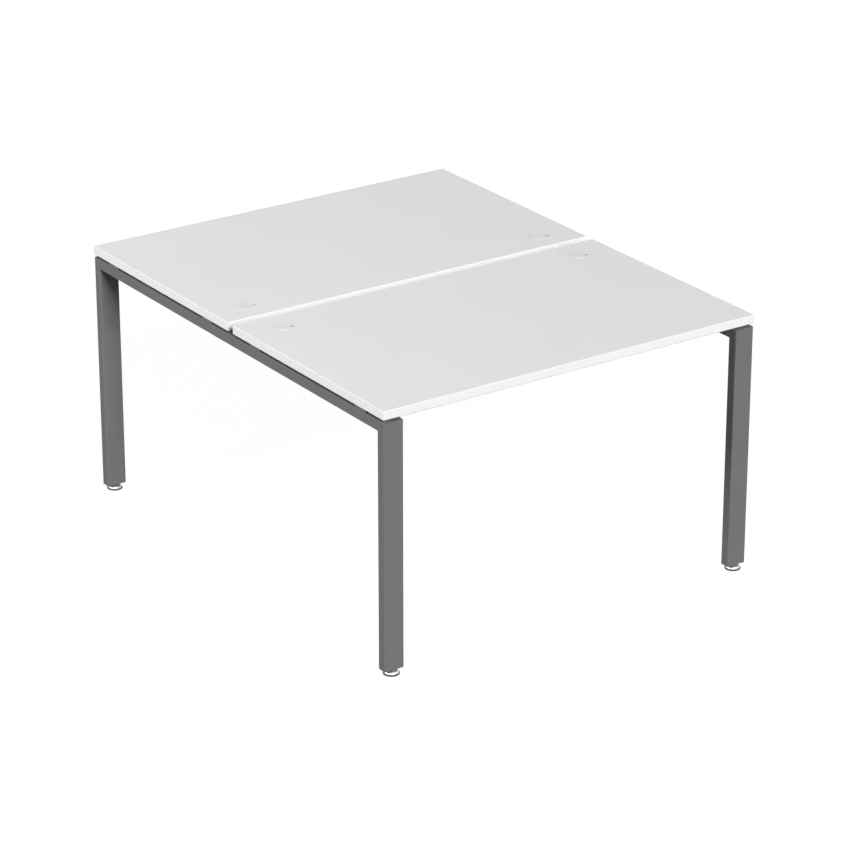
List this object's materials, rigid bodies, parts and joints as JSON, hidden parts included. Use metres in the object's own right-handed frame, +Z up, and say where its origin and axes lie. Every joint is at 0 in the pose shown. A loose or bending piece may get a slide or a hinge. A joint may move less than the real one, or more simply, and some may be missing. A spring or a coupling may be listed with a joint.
{
  "type": "benching desk for two",
  "caption": "Two facing white worktops with cable grommets, a cable gap between them, on dark grey rectangular-tube end frames with levelling feet.",
  "frame": {"origin": "middle of the footprint, on the floor", "axes": "+Z up; X along each user's front edge; +Y from the front user's side to the back user's side"},
  "size_m": [1.2, 1.488, 0.751],
  "materials": {
    "worktop_laminate": "white melamine laminate on chipboard, fine matt texture",
    "edge_band": "white edging plastic, satin, small rounded arrises",
    "grommet_plastic": "white moulded plastic, fine spark texture",
    "frame_paint": "dark grey powder coat, fine texture, satin",
    "foot_chrome": "bright plated steel",
    "glide_plastic": "dark moulded plastic",
    "zinc": "zinc-plated steel",
    "plug_plastic": "black moulded plastic"
  },
  "bodies": {
    "root": {"worktop_front": "worktop_laminate", "edge_band_front": "edge_band", "tie_rail_front": "frame_paint", "worktop_back": "worktop_laminate", "edge_band_back": "edge_band", "tie_rail_back": "frame_paint", "end_beam_left": "frame_paint", "end_beam_right": "frame_paint", "grommet_liner_front_left": "grommet_plastic", "leg_front_left": "frame_paint", "leg_plug_front_left": "plug_plastic", "spacer_pad_front_left_outer": "frame_paint", "worktop_screw_front_left_outer": "zinc", "rail_bolt_front_left_outer": "zinc", "spacer_pad_front_left_inner": "frame_paint", "worktop_screw_front_left_inner": "zinc", "rail_bolt_front_left_inner": "zinc", "grommet_liner_front_right": "grommet_plastic", "leg_front_right": "frame_paint", "leg_plug_front_right": "plug_plastic", "spacer_pad_front_right_outer": "frame_paint", "worktop_screw_front_right_outer": "zinc", "rail_bolt_front_right_outer": "zinc", "spacer_pad_front_right_inner": "frame_paint", "worktop_screw_front_right_inner": "zinc", "rail_bolt_front_right_inner": "zinc", "grommet_liner_back_left": "grommet_plastic", "leg_back_left": "frame_paint", "leg_plug_back_left": "plug_plastic", "spacer_pad_back_left_outer": "frame_paint", "worktop_screw_back_left_outer": "zinc", "rail_bolt_back_left_outer": "zinc", "spacer_pad_back_left_inner": "frame_paint", "worktop_screw_back_left_inner": "zinc", "rail_bolt_back_left_inner": "zinc", "grommet_liner_back_right": "grommet_plastic", "leg_back_right": "frame_paint", "leg_plug_back_right": "plug_plastic", "spacer_pad_back_right_outer": "frame_paint", "worktop_screw_back_right_outer": "zinc", "rail_bolt_back_right_outer": "zinc", "spacer_pad_back_right_inner": "frame_paint", "worktop_screw_back_right_inner": "zinc", "rail_bolt_back_right_inner": "zinc"},
    "foot_front_left": {"foot_cup_front_left": "foot_chrome", "foot_glide_front_left": "glide_plastic"},
    "stem_front_left": {"foot_stem_front_left": "zinc"},
    "cap_front_left": {"grommet_cap_front_left": "grommet_plastic"},
    "foot_front_right": {"foot_cup_front_right": "foot_chrome", "foot_glide_front_right": "glide_plastic"},
    "stem_front_right": {"foot_stem_front_right": "zinc"},
    "cap_front_right": {"grommet_cap_front_right": "grommet_plastic"},
    "foot_back_left": {"foot_cup_back_left": "foot_chrome", "foot_glide_back_left": "glide_plastic"},
    "stem_back_left": {"foot_stem_back_left": "zinc"},
    "cap_back_left": {"grommet_cap_back_left": "grommet_plastic"},
    "foot_back_right": {"foot_cup_back_right": "foot_chrome", "foot_glide_back_right": "glide_plastic"},
    "stem_back_right": {"foot_stem_back_right": "zinc"},
    "cap_back_right": {"grommet_cap_back_right": "grommet_plastic"}
  },
  "joints": [
    {"name": "foot_height_front_left", "type": "slide", "parent": "root", "child": "foot_front_left", "axis": [0, 0, -1], "range_m": [0, 0.015]},
    {"name": "stem_turn_front_left", "type": "hinge", "parent": "foot_front_left", "child": "stem_front_left", "pos_m": [-0.569, -0.7215, 0], "axis": [0, 0, -1], "range_deg": [-5, 4325]},
    {"name": "cap_turn_front_left", "type": "hinge", "parent": "root", "child": "cap_front_left", "pos_m": [-0.49, -0.0925, 0.75], "axis": [0, 0, 1], "continuous": true},
    {"name": "foot_height_front_right", "type": "slide", "parent": "root", "child": "foot_front_right", "axis": [0, 0, -1], "range_m": [0, 0.015]},
    {"name": "stem_turn_front_right", "type": "hinge", "parent": "foot_front_right", "child": "stem_front_right", "pos_m": [0.569, -0.7215, 0], "axis": [0, 0, -1], "range_deg": [-5, 4325]},
    {"name": "cap_turn_front_right", "type": "hinge", "parent": "root", "child": "cap_front_right", "pos_m": [0.49, -0.0925, 0.75], "axis": [0, 0, 1], "continuous": true},
    {"name": "foot_height_back_left", "type": "slide", "parent": "root", "child": "foot_back_left", "axis": [0, 0, -1], "range_m": [0, 0.015]},
    {"name": "stem_turn_back_left", "type": "hinge", "parent": "foot_back_left", "child": "stem_back_left", "pos_m": [-0.569, 0.7215, 0], "axis": [0, 0, -1], "range_deg": [-5, 4325]},
    {"name": "cap_turn_back_left", "type": "hinge", "parent": "root", "child": "cap_back_left", "pos_m": [-0.49, 0.0925, 0.75], "axis": [0, 0, 1], "continuous": true},
    {"name": "foot_height_back_right", "type": "slide", "parent": "root", "child": "foot_back_right", "axis": [0, 0, -1], "range_m": [0, 0.015]},
    {"name": "stem_turn_back_right", "type": "hinge", "parent": "foot_back_right", "child": "stem_back_right", "pos_m": [0.569, 0.7215, 0], "axis": [0, 0, -1], "range_deg": [-5, 4325]},
    {"name": "cap_turn_back_right", "type": "hinge", "parent": "root", "child": "cap_back_right", "pos_m": [0.49, 0.0925, 0.75], "axis": [0, 0, 1], "continuous": true}
  ],
  "couplings": [
    {"joint": "stem_turn_front_left", "follows": "foot_height_front_left", "rad_per_m": 5026.5},
    {"joint": "stem_turn_front_right", "follows": "foot_height_front_right", "rad_per_m": 5026.5},
    {"joint": "stem_turn_back_left", "follows": "foot_height_back_left", "rad_per_m": 5026.5},
    {"joint": "stem_turn_back_right", "follows": "foot_height_back_right", "rad_per_m": 5026.5}
  ]
}
